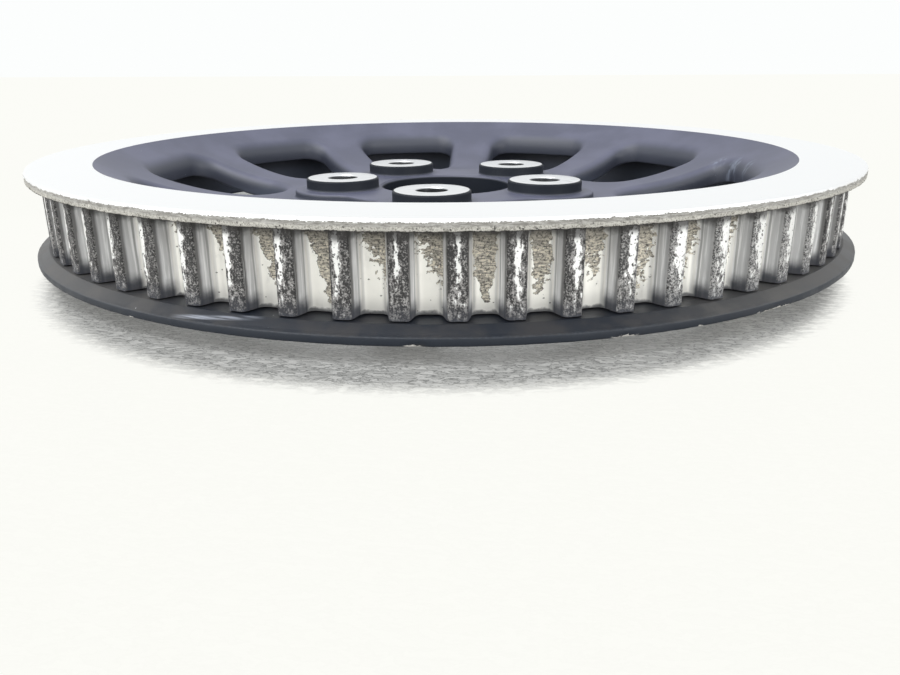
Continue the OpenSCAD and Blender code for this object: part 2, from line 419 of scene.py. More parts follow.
@dataclass(frozen=True)
class FlangeMetal(Finish):
    """The outer flange: a bright turned face down over a rubbed corner, a grimy band and a pale, gritty lower edge with
    a painted shadow line at its foot.
    """

    name: str = "flange_metal"
    face: Colour = (0.90, 0.905, 0.915)
    band: Colour = (0.255, 0.245, 0.225)
    band_pale: Colour = (0.43, 0.42, 0.395)
    edge: Colour = (0.235, 0.225, 0.20)
    edge_pale: Colour = (0.52, 0.505, 0.46)
    dark: Colour = (0.035, 0.032, 0.030)
    under: Colour = (0.34, 0.33, 0.31)
    top: float = 34.926
    corner: float = 0.85
    middle: float = 1.95
    edge_width: float = 3.1
    outer: float = 150.06

    def draw(self, canvas: Canvas) -> None:
        """Bands by height and radius, with frayed borders, and a painted shadow line along the foot of the edge."""
        fine, coarse = canvas.noise(0.5, 4.0, 0.65), canvas.noise(2.4, 4.0)
        holes = canvas.pits(0.75, 0.42, 0.30)
        drop = self.top - canvas.height + (coarse - 0.5) * 0.85 + (fine - 0.5) * 1.1
        on_face = drop.rise(self.corner + 0.08, self.corner - 0.08)
        on_side = canvas.radius.rise(self.outer - 0.75, self.outer - 0.45)
        rubbed = canvas.noise(30.0, 2.0) * 0.3 + canvas.streaks(2.2, 0.35)
        upper = rubbed.rise(0.50, 0.80).mix(self.band, self.band_pale)
        lower = (holes * 0.85).mix(fine.rise(0.36, 0.56).mix(self.edge, self.edge_pale), self.dark)
        side = drop.rise(self.middle - 0.22, self.middle + 0.22).mix(upper, lower)
        side = (fine.rise(0.60, 0.72) * 0.8).mix(side, self.dark)
        # Painted shadow: the lowest strip of the edge goes dark.
        side = drop.rise(self.edge_width - 0.30, self.edge_width - 0.08).mix(side, self.dark)
        under = coarse.rise(0.42, 0.65).mix(self.under, self.band)
        face = canvas.pits(5.5, 0.10, 0.040).mix(self.face, self.dark)
        canvas.paint(
            Base_Color=on_face.mix(on_side.mix(under, side), face),
            Metallic=on_face.blend(0.30, 1.0),
            Roughness=on_face.blend(0.72, 0.34),
        )
        gritty = (fine - holes * 0.8) * (1.0 - on_face) * on_side
        turned = canvas.noise(0.16, 2.0, place=canvas.xyz(canvas.radius, 0.0, 0.0)) * on_face * 0.04
        canvas.relief(gritty + turned, 0.20, 0.9)


@dataclass(frozen=True)
class TrackPlace:
    """Where a point of the track lies, and the patterns that the track's tones share.

    across is the distance from the nearest groove's middle and on_tooth that from the tooth's middle, in teeth. climb
    goes from 0 on a groove's floor to 1 on the crests, and down from 0 under the flange to 1 at the ring.
    """

    across: Flow
    on_tooth: Flow
    climb: Flow
    down: Flow
    clean: Flow
    fine: Flow
    mid: Flow
    streak: Flow


@dataclass(frozen=True)
class TrackMetal(Finish):
    """The toothed track: pale groove floors with peeled patches, steel-grey flanks and dark, pitted, worn crests, with
    painted shade under the flange, at the roots and at the feet, and a painted highlight in the crests' worn strips.
    """

    name: str = "track_metal"
    floor: Colour = (0.93, 0.915, 0.86)
    floor_grey: Colour = (0.60, 0.59, 0.57)
    steel: Colour = (0.93, 0.93, 0.93)
    steel_dark: Colour = (0.58, 0.58, 0.58)
    grime_and_shade: Colour = (0.055, 0.052, 0.050)
    foot_dirt_and_shade: Colour = (0.040, 0.043, 0.055)
    crest: Colour = (0.032, 0.031, 0.031)
    crest_pale: Colour = (0.34, 0.33, 0.32)
    crest_clean: Colour = (0.62, 0.62, 0.61)
    worn: Colour = (0.86, 0.86, 0.85)
    patch: Colour = (0.33, 0.31, 0.27)
    patch_tan: Colour = (0.84, 0.775, 0.645)
    patch_dark: Colour = (0.032, 0.029, 0.027)
    step: float = 360 / 66
    front: float = -90.0
    pitch: float = 13.9
    floor_radius: float = 139.76
    groove_depth: float = 5.9
    under: float = 30.6
    track_width: float = 21.0

    def draw(self, canvas: Canvas) -> None:
        """Places each tone by the distance across a groove, its depth and the distance below the flange."""
        steps = (canvas.turn - self.front) / self.step
        at = TrackPlace(
            across=steps - canvas.math("ROUND", steps),
            on_tooth=steps - canvas.math("FLOOR", steps) - 0.5,
            climb=(canvas.radius - self.floor_radius) / self.groove_depth,
            down=(self.under - canvas.height) / self.track_width,
            clean=canvas.stored("worn_width").rise(1.35, 2.7),
            fine=canvas.noise(0.55, 5.0, 0.65),
            mid=canvas.noise(2.3, 4.0),
            streak=canvas.streaks(0.75, 16.0),
        )
        on_flank = at.climb.rise(0.12, 0.26)
        on_crest = (at.fine * 0.10 + at.climb).rise(0.90, 0.97)
        crest, worn, dents = self._crest(canvas, at)
        tone = on_crest.mix(on_flank.mix(self._floor(canvas, at), self._flank(canvas, at)), crest)
        # A thin light line along the crests' corners: rubbed bare metal, and a painted highlight on the corner's
        # rounding.
        rubbed = at.climb.near(0.93, 0.012, 0.022) * at.streak.rise(0.35, 0.55) * (1.0 - on_crest)
        tone = (rubbed * 0.7).mix(tone, self.crest_clean)
        peeled, outline, grain = self._peel(canvas, at)
        tone = (outline * 0.8).mix(peeled.mix(tone, grain), self.patch_dark)
        # Painted shade under the flange, with some dirt: darker near the top of the track.
        shade = ((at.mid - 0.5) * 0.14 + at.down).rise(0.13, 0.02) * 0.80
        # Darker at the feet next to the ring: painted shade of the gap under the teeth, and a crust of dirt along the
        # last millimetre.
        low = (at.mid - 0.5) * 0.10 + at.down
        foot = low.rise(0.74, 0.94) * at.climb.rise(0.02, 0.3).blend(0.12, 0.94) * on_crest.blend(1.0, 0.55)
        foot = canvas.most(foot, low.rise(0.935, 0.985) * 0.85)
        dull = canvas.most(peeled, shade, foot)
        metal = on_crest.blend(on_flank.blend(0.6, 0.15), worn.blend(0.25, 0.8))
        rough = on_crest.blend(at.streak.blend(0.38, 0.55), worn.blend(0.62, 0.38))
        canvas.paint(
            Base_Color=foot.mix(shade.mix(tone, self.grime_and_shade), self.foot_dirt_and_shade),
            Metallic=metal * (1.0 - dull),
            Roughness=dull.blend(rough, 0.85),
        )
        dug = at.fine * canvas.most(peeled, on_crest * 0.7, 0.10) - peeled * 0.6 - dents * on_crest * 0.6
        canvas.relief(dug + worn * on_crest * 0.35, 0.24, 0.9)

    def _floor(self, canvas: Canvas, at: TrackPlace) -> Socket:
        """Bright groove floor with faint stains, a greyer line at each side as painted shade at the root, and a few
        pits.
        """
        stain = canvas.noise(1.6, 4.0, stretch=(1.0, 1.0, 0.5)).rise(0.58, 0.75)
        tone = (canvas.noise(9.0).rise(0.45, 0.75) * 0.35).mix(self.floor, self.floor_grey)
        tone = (stain * 0.30).mix(tone, self.floor_grey)
        # Painted shade: a greyer line where the floor meets the root.
        tone = (abs(at.across).near(0.20, 0.010, 0.022) * 0.45).mix(tone, self.steel_dark)
        return (canvas.pits(1.5, 0.15, 0.17, (1.0, 1.0, 1.5)) * 0.75).mix(tone, self.patch_dark)

    def _flank(self, canvas: Canvas, at: TrackPlace) -> Socket:
        """Smooth grey flank in upright bands: a dark line of painted shade at its root, and dark along the crest's
        corner.
        """
        place = at.climb + (canvas.noise(14.0, 2.0) - 0.5) * 0.10
        steel = (at.streak - place.rise(0.36, 0.46) * 0.16).rise(0.28, 0.60).mix(self.steel_dark, self.steel)
        # Painted shade: a dark line at the root.
        root = place.near(0.31, 0.025, 0.05) * at.streak.rise(0.30, 0.50) * 0.55
        corner = place.rise(0.64, 0.80) * at.streak.rise(0.20, 0.45) * at.clean.blend(0.86, 0.40)
        return canvas.most(root, corner).mix(steel, self.grime_and_shade)

    def _crest(self, canvas: Canvas, at: TrackPlace) -> tuple[Socket, Flow, Flow]:
        """Dark pitted crest with islands that the belt has worn bright; the islands are also a painted highlight.

        Returns:
            The crest's colour, the mask of its worn islands with their painted highlight, and the mask of its pits.
        """
        # The bright strip on each crest is worn metal and a painted highlight, at its stored place and width.
        off = abs(at.on_tooth * self.pitch - canvas.stored("worn_at"))
        within = canvas.most(1.0 - off / canvas.stored("worn_width"), -1.0)
        blotch = canvas.noise(1.05, 4.0, 0.62, stretch=(1.0, 1.0, 0.5))
        level = blotch + within * at.down.rise(1.0, 0.25) * canvas.stored("worn_share")
        worn = level.rise(0.600, 0.650)
        speck = canvas.noise(0.42, 3.0, 0.65)
        mottled = level.rise(0.40, 0.62) * 0.14 + speck + (blotch - 0.5) * 0.5
        tone = mottled.rise(0.46, 0.70).mix(self.crest, self.crest_pale)
        tone = (at.clean * speck.rise(0.35, 0.65) * 0.5).mix(tone, self.crest_clean)
        tone = (worn * 0.95).mix(tone, self.worn)
        dents = canvas.pits(0.72, 0.60, 0.30) * (1.0 - blotch.rise(0.60, 0.72) * 0.8)
        return (dents * 0.88).mix(tone, self.patch_dark), worn * (1.0 - dents), dents

    def _peel(self, canvas: Canvas, at: TrackPlace) -> tuple[Flow, Flow, Socket]:
        """Patches where the groove's bright skin has come off, with loose islands below them.

        Returns:
            The patches' mask, the mask of their dark outline and their colour.
        """
        peel, side, scatter = (canvas.stored(name) for name in ("peel", "side", "scatter"))
        sway = canvas.noise(2.1, place=canvas.vector("ADD", canvas.spot, (31.0, 7.0, 3.0))) - 0.5
        reach = sway * 1.3 + at.across / 0.21
        shape = abs(side).blend(1.0 - abs(reach) ** 3.0 * 0.8, reach * side * 0.46 + 0.56)
        crumb = canvas.noise(1.25, stretch=(1.0, 1.0, 1.25))
        limit = peel * (shape + (at.mid - 0.5) * 0.7) + (crumb - 0.5) * scatter * 1.7 + (at.fine - 0.5) * 0.07
        past = limit - at.down
        in_groove = at.climb.rise(0.42, 0.16) * peel.rise(0.02, 0.06) * at.down.rise(peel + 0.32, peel + 0.20)
        outline = past.near(0.006, 0.008, 0.014) * in_groove * at.down.rise(0.10, 0.22)
        # Greyer towards the flange: painted shade, with dirt, at the patches' top.
        tan = canvas.streaks(1.5, 0.36).rise(0.38, 0.62) * at.down.rise(0.04, 0.28).blend(0.35, 1.0)
        grain = (at.fine.rise(0.50, 0.60) * 0.72).mix(tan.mix(self.patch, self.patch_tan), self.patch_dark)
        return past.rise(0.0, 0.012) * in_groove, outline, grain


@dataclass(frozen=True)
class RingBlack(Finish):
    """Satin black coat of the inner flange ring, dusty on top with a painted sheen at its sides, a painted highlight
    along its corner, and chipped to the metal along its lower edge.
    """

    name: str = "black_ring"
    colour: Colour = (0.011, 0.0145, 0.022)
    dust: Colour = (0.027, 0.027, 0.030)
    thick_dust_and_sheen: Colour = (0.082, 0.080, 0.079)
    band: Colour = (0.009, 0.013, 0.021)
    bevel: Colour = (0.045, 0.055, 0.070)
    speck: Colour = (0.72, 0.74, 0.78)
    metal: Colour = (0.72, 0.70, 0.66)
    scuff: Colour = (0.40, 0.43, 0.50)
    outer: float = 150.16
    edge_top: float = 7.25
    foot: float = 4.8
    dust_and_sheen_turns: tuple[tuple[float, float], ...] = ((-145.0, 38.0), (-32.0, 34.0))
    chips: tuple[tuple[float, float], ...] = ((-85.9, 0.8), (-66.4, 1.3), (-47.6, 3.0), (-116.1, 0.35), (-58.0, 0.3))
    scuff_turn: float = -105.5
    scuff_reach: float = 5.0
    scuff_slope: float = -0.26

    def draw(self, canvas: Canvas) -> None:
        """Dust and specks on the top, thicker dust with a painted sheen at two turns, a paler corner line as a painted
        highlight, a smooth band and chips below it, and a rubbed streak.
        """
        radius, turn, height = canvas.radius, canvas.turn, canvas.height
        dusty = canvas.noise(11.0, 5.0, 0.6).rise(0.40, 0.68)
        fine = canvas.noise(0.8, 4.0)
        # Thicker dust and a painted sheen: the top is lighter at two turns, left and right of the front.
        thick = canvas.most(*(turn.near(centre, reach * 0.5, reach * 0.6) for centre, reach in self.dust_and_sheen_turns))
        tone = (thick * dusty.blend(0.6, 1.0)).mix(dusty.mix(self.colour, self.dust), self.thick_dust_and_sheen)
        side = height.rise(self.edge_top - 0.15, self.edge_top - 0.45)
        tone = (side * radius.rise(self.outer - 0.5, self.outer - 0.2)).mix(tone, self.band)
        # Painted highlight: a paler line along the top's outer corner.
        corner = height.near(self.edge_top - 0.20, 0.10, 0.20) * radius.rise(self.outer - 1.0, self.outer - 0.6)
        tone = (corner * fine.rise(0.35, 0.65) * 0.32).mix(tone, self.bevel)
        tone = (canvas.pits(3.6, 0.30, 0.045) * 0.8).mix(tone, self.speck)
        chipped = canvas.most(*(turn.near(centre, reach * 0.6, reach * 0.6) for centre, reach in self.chips))
        level = (canvas.noise(1.1, 5.0) - 0.5) * 2.2 + (self.foot + 0.42)
        chipped = height.rise(level + 0.12, level) * chipped
        along = turn - self.scuff_turn
        drag = canvas.noise(0.7, place=canvas.xyz(turn * 0.12, radius * 1.3, 0.0))
        line = along * self.scuff_slope + (self.outer - 2.2) - radius
        rubbed = line.near(0.0, 0.20, 0.65) * along.near(0.0, self.scuff_reach * 0.5, self.scuff_reach * 0.6)
        rubbed = rubbed * drag.rise(0.30, 0.62) * (1.0 - side)
        canvas.paint(
            Base_Color=chipped.mix((rubbed * 0.6).mix(tone, self.scuff), self.metal),
            Metallic=chipped * 0.8,
            Roughness=canvas.most(chipped, rubbed).blend(dusty.blend(0.46, 0.60), 0.6),
            Specular_IOR_Level=0.35,
        )
        canvas.relief(fine * 0.15 - chipped, 0.08, 0.7)


@dataclass(frozen=True)
class TableGloss(Finish):
    """White table with an embossed grain under a gloss, which fades to plain white outside the wheel's soft shadow;
    near the wheel its grey colour, a darker rim to the shade and a dark sheet behind the wheel are painted shade, and a
    faint white glow is painted in.
    """

    name: str = "white_table"
    colour: Colour = (0.52, 0.52, 0.51)
    grain: Colour = (0.085, 0.088, 0.088)
    white: Colour = (0.985, 0.985, 0.94)
    shade_centre: Triple = (2.0, -28.0, 0.0)
    shade_back: float = 0.2
    back_reach: float = 40.0
    clear_from: float = 130.5
    clear_to: float = 140.5
    glow_veil: float = 0.14
    clear_share: float = 0.97

    def draw(self, canvas: Canvas) -> None:
        """Grain, ripples and painted shade near the wheel, and the far part as a white backdrop for the camera."""
        wavy = canvas.noise(1.7, 3.0, 0.6, stretch=(0.42, 1.0, 1.0))
        x, y, _ = canvas.split(canvas.vector("SUBTRACT", canvas.spot, self.shade_centre))
        behind = canvas.most(y, 0.0)
        away = canvas.distance(canvas.xyz(x, behind * (self.shade_back - 1.0) + y, 0.0))
        away = canvas.most(away, canvas.radius - self.back_reach)
        # Painted shade: the table behind the wheel goes dark.
        shade_behind = behind.rise(20.0, 70.0)
        # Dark grain lines, and painted shade that darkens the table towards the shade's edge and behind the wheel.
        dark = wavy.rise(0.42, 0.62) * 0.30 + abs(wavy - 0.5).rise(0.040, 0.012) * 0.70
        dark = canvas.math("ADD", dark, canvas.most(away.rise(112.0, 132.0) * 0.30, shade_behind), clamp=True)
        # The grey base colour near the wheel is painted shade on a white table.
        canvas.paint(
            Base_Color=dark.mix(self.colour, self.grain),
            Roughness=0.5,
            Coat_Weight=0.8,
            Coat_Roughness=0.22,
            Coat_IOR=1.8,
            Coat_Normal=canvas.relief(wavy + canvas.noise(12.0, 2.0) * 1.4, 0.5),
        )
        edge = (wavy - 0.5) * 12.0 + away
        # Painted glow: a little white emission is mixed in near the wheel, but not behind it.
        far = edge.rise(self.clear_from, self.clear_to).blend((1.0 - shade_behind) * self.glow_veil, self.clear_share)
        seen = canvas.math("MINIMUM", 1.0, canvas.ray("Is Camera Ray") + canvas.ray("Is Glossy Ray"))
        white = canvas.node("ShaderNodeEmission", {"Color": self.white}).outputs[0]
        feeds = {0: far * seen, 1: canvas.shader.outputs["BSDF"], 2: white}
        canvas.feed(canvas.outlet.inputs["Surface"], canvas.node("ShaderNodeMixShader", feeds).outputs[0])


# Meshes


def add(name: str, data: bpy.types.ID) -> bpy.types.Object:
    """Makes an object and puts it in the scene."""
    made = bpy.data.objects.new(name, data)
    bpy.context.scene.collection.objects.link(made)
    return made


class Draft:
    """A mesh in the making: rows of points in millimetres, and the quads between rows."""

    def __init__(self) -> None:
        """Starts with nothing."""
        self.points: list[np.ndarray] = []
        self.wear: list[np.ndarray] = []
        self.quads: list[list[int]] = []
        self.bare: list[bool] = []

    def row(self, plane: np.ndarray, height: np.ndarray | float, wear: np.ndarray | float = 0.0) -> np.ndarray:
        """Adds points and returns their numbers.

        Args:
            plane: N x 2 places on the plane.
            height: their height.
            wear: how much of the wear depth reaches each point, from 0 to 1.
        """
        first = sum(map(len, self.points))
        self.points.append(np.column_stack([plane, np.broadcast_to(height, len(plane))]))
        self.wear.append(np.broadcast_to(wear, len(plane)).astype(float))
        return np.arange(first, first + len(plane))

    def stack(self, rows: list[np.ndarray], closed: bool = False, bare: bool = False) -> None:
        """Joins each row to the next with quads.

        Args:
            rows: the numbers of each row's points, as many in every row.
            closed: the rows are loops.
            bare: the quads show bare metal.
        """
        for first, second in zip(rows, rows[1:]):
            quads = np.stack([first, np.roll(first, -1), np.roll(second, -1), second], -1)
            quads = (quads if closed else quads[:-1]).tolist()
            self.quads += quads
            self.bare += [bare] * len(quads)

    def piece(self, name: str) -> bpy.types.Object:
        """The mesh as an object, with its wear and its bare faces as attributes."""
        mesh = bpy.data.meshes.new(name)
        mesh.from_pydata((np.concatenate(self.points) * METRE).tolist(), [], self.quads)
        mesh.attributes.new("wear", "FLOAT", "POINT").data.foreach_set("value", np.concatenate(self.wear))
        mesh.attributes.new("bare", "BOOLEAN", "FACE").data.foreach_set("value", self.bare)
        return add(name, mesh)


class SectorRing:
    """Sets copies of a sector round the wheel's axis with Geometry Nodes, welds them and roughens worn edges."""

    INPUTS = {
        "Geometry": ("Geometry", None),
        "Copies": ("Int", 1),
        "First turn": ("Float", 0.0),
        "Second sector": ("Object", None),
        "Second copies": ("Int", 1),
        "Second turn": ("Float", 0.0),
        "Wear depth": ("Float", 0.0),
        "Wear grain": ("Float", 0.001),
        "Finish": ("Material", None),
        "Bare finish": ("Material", None),
    }
    WELD_DISTANCE = 2e-6
    WEAR_SEED = 3.0

    def __init__(self) -> None:
        """Builds the tree."""
        self.tree = bpy.data.node_groups.new("sector_ring", "GeometryNodeTree")
        face = self.tree.interface
        for name, (kind, value) in self.INPUTS.items():
            socket = face.new_socket(name=name, in_out="INPUT", socket_type="NodeSocket" + kind)
            if value is not None:
                socket.default_value = value
        face.new_socket(name="Geometry", in_out="OUTPUT", socket_type="NodeSocketGeometry")
        graph = Graph(self.tree)
        given = graph.given()
        other = graph.node("GeometryNodeObjectInfo", {"Object": given["Second sector"]}).outputs["Geometry"]
        joined = graph.node("GeometryNodeJoinGeometry")
        graph.feed(joined.inputs[0], self._copies(graph, given["Geometry"], given["Copies"], given["First turn"]))
        graph.feed(joined.inputs[0], self._copies(graph, other, given["Second copies"], given["Second turn"]))
        bare = self._stored(graph, "bare", "BOOLEAN")
        geometry = joined.outputs[0]
        for kind, feeds in (
            ("RealizeInstances", {}),
            ("MergeByDistance", {"Distance": self.WELD_DISTANCE}),
            ("SetPosition", {"Offset": self._sinking(graph, given)}),
            ("SetMaterial", {"Material": given["Finish"]}),
            ("SetMaterial", {"Material": given["Bare finish"], "Selection": bare}),
        ):
            geometry = graph.node("GeometryNode" + kind, {"Geometry": geometry} | feeds).outputs["Geometry"]
        graph.node("NodeGroupOutput", {0: geometry})

    @staticmethod
    def _stored(graph: Graph, name: str, kind: str) -> Socket:
        """A value that the mesh holds."""
        return graph.node("GeometryNodeInputNamedAttribute", {"Name": name}, data_type=kind).outputs["Attribute"]

    @staticmethod
    def _copies(graph: Graph, sector: Socket, count: Flow, first: Flow) -> Socket:
        """Instances of the sector, evenly spaced from the first turn in degrees."""
        line = graph.node("GeometryNodeMeshLine", {"Count": count, "Offset": ORIGIN}).outputs["Mesh"]
        index = graph.node("GeometryNodeInputIndex").outputs[0]
        angle = graph.math("RADIANS", graph.math("MULTIPLY_ADD", index, 360.0 / count, first))
        spin = graph.node("FunctionNodeAxisAngleToRotation", {"Angle": angle}).outputs["Rotation"]
        feeds = {"Points": line, "Instance": sector, "Rotation": spin}
        return graph.node("GeometryNodeInstanceOnPoints", feeds).outputs["Instances"]

    def _sinking(self, graph: Graph, given: dict) -> Socket:
        """A move inwards by a random part of the wear depth."""
        place = graph.node("GeometryNodeInputPosition").outputs[0]
        feeds = {"Vector": place, "W": self.WEAR_SEED, "Scale": 1.0 / given["Wear grain"], "Detail": 2.0}
        grain = Flow(graph, graph.node("ShaderNodeTexNoise", feeds, noise_dimensions="4D").outputs["Fac"])
        sunk = grain.rise(0.35, 0.75) * given["Wear depth"] * self._stored(graph, "wear", "FLOAT")
        return graph.vector("SCALE", graph.node("GeometryNodeInputNormal").outputs[0], sunk * -1.0)

    def grow(self, name: str, sector: Draft, other: Draft | None = None, **values: object) -> bpy.types.Object:
        """Makes the ring of a sector as a plain mesh.

        Args:
            name: the piece's name.
            sector: the sector to copy.
            other: a second sector with its own count, welded to the first.
            values: the tree's inputs; an underscore in a name stands for a space.

        Returns:
            The finished piece.
        """
        piece = sector.piece(name)
        second = other.piece(name + "_second") if other else None
        wanted = {key.replace("_", " "): value for key, value in values.items()} | {"Second sector": second}
        modifier = piece.modifiers.new("sector_ring", "NODES")
        modifier.node_group = self.tree
        for item in self.tree.interface.items_tree:
            if item.in_out == "INPUT" and wanted.get(item.name) is not None:
                modifier[item.identifier] = wanted[item.name]
        graph = bpy.context.evaluated_depsgraph_get()
        made = piece.evaluated_get(graph)
        mesh = bpy.data.meshes.new_from_object(made, preserve_all_data_layers=True, depsgraph=graph)
        piece.modifiers.remove(modifier)
        piece.data = mesh
        mesh.name = name
        if second:
            bpy.data.objects.remove(second)
        return piece


def seal(piece: bpy.types.Object, sharp: float) -> None:
    """Turns a piece's faces outwards and shades it smooth up to an angle.

    Args:
        piece: the finished mesh object.
        sharp: faces that meet at more than this many degrees keep their edge.
    """
    mesh = piece.data
    for name in ("wear", "bare"):
        if name in mesh.attributes:
            mesh.attributes.remove(mesh.attributes[name])
    work = bmesh.new()
    work.from_mesh(mesh)
    bmesh.ops.recalc_face_normals(work, faces=work.faces)
    open_edges = sum(1 for edge in work.edges if len(edge.link_faces) != 2)
    work.to_mesh(mesh)
    work.free()
    mesh.shade_smooth()
    mesh.set_sharp_from_angle(angle=math.radians(sharp))
    LOG.info("%s: %d faces, %d open edges", piece.name, len(mesh.polygons), open_edges)


def places_of(mesh: bpy.types.Mesh) -> np.ndarray:
    """Places of a mesh's points in metres, N x 3."""
    places = np.empty(len(mesh.vertices) * 3)
    mesh.vertices.foreach_get("co", places)
    return places.reshape(-1, 3)


@dataclass(frozen=True)
class Knock:
    """A dent in a turned edge, or a burr where its depth is negative."""

    turn: float
    height: float
    reach: float
    depth: float
    tall: float = 0.8


def knock(mesh: bpy.types.Mesh, knocks: tuple[Knock, ...], outside: float) -> None:
    """Moves an edge's points towards the axis at each knock; only points beyond the radius outside move."""
    places = places_of(mesh)
    radius = np.hypot(places[:, 0], places[:, 1]) / METRE
    turn = np.degrees(np.arctan2(places[:, 1], places[:, 0]))
    for mark in knocks:
        along = np.radians((turn - mark.turn + 180) % 360 - 180) * radius / mark.reach
        upward = (places[:, 2] / METRE - mark.height) / mark.tall
        depth = mark.depth * np.clip(1 - along**2, 0, 1) * np.clip(1 - upward**2, 0, 1) * (radius > outside)
        places[:, :2] *= (1 - depth / radius)[:, None]
    mesh.vertices.foreach_set("co", places.ravel())
    mesh.update()


def look_up(outline: list, middle: float, looks: np.ndarray) -> tuple[np.ndarray, np.ndarray]:
    """Finds where looks from a point on the X axis cross an outline that is mirrored in that axis.

    Args:
        outline: parts of its upper half, each as plane points and the outward directions there.
        middle: X of the point that the looks start from.
        looks: directions in radians.

    Returns:
        The distance to each crossing, as a column, and the outward direction there.
    """
    points, normals = (np.concatenate(part) for part in zip(*outline))
    points, normals = (np.concatenate([half, half * (1.0, -1.0)]) for half in (points, normals))
    apart = points - (middle, 0.0)
    keys = np.arctan2(apart[:, 1], apart[:, 0])
    order = np.argsort(keys)
    columns = np.column_stack([np.hypot(*apart.T), normals])[order].T
    found = np.column_stack([np.interp(looks, keys[order], column, period=math.tau) for column in columns])
    return found[:, :1], found[:, 1:] / np.hypot(*found[:, 1:].T)[:, None]


# The wheel


@dataclass(frozen=True)
class WheelSizes:
    """Sizes that the parts of the wheel share."""

    teeth: int = 66
    tooth_pitch: float = 14.0
    crest_drop: float = 1.4
    groove_depth: float = 5.9
    front: float = -90.0
    rim_width: float = 10.5
    rim_wall: float = 8.0
    foot: float = 4.8
    seat: float = 9.25
    track_width: float = 21.8
    flange_edge: float = 3.1
    flange_reach: float = 4.4
    flange_slope: float = 10.0
    spigot_step: float = 2.7
    shoulder: float = 1.5
    inner_wall: float = 135.0
    inner_top: float = 30.0

    @property
    def tip(self) -> float:
        """Radius of the tooth crests."""
        return self.teeth * self.tooth_pitch / math.tau - self.crest_drop

    @property
    def floor(self) -> float:
        """Radius of the groove floors."""
        return self.tip - self.groove_depth

    @property
    def flange(self) -> float:
        """Outer radius of the outer flange."""
        return self.tip + self.flange_reach

    @property
    def face_inner(self) -> float:
        """Inner radius of the machined face."""
        return self.floor - self.rim_width

    @property
    def slope(self) -> float:
        """Height that the flange's belt side loses for each millimetre towards the axis."""
        return math.tan(math.radians(self.flange_slope))

    @property
    def flange_under(self) -> float:
        """Height of the flange's belt side at its edge."""
        return self.seat + self.track_width + self.flange_reach * self.slope

    @property
    def top(self) -> float:
        """Height of the machined face."""
        return self.flange_under + self.flange_edge


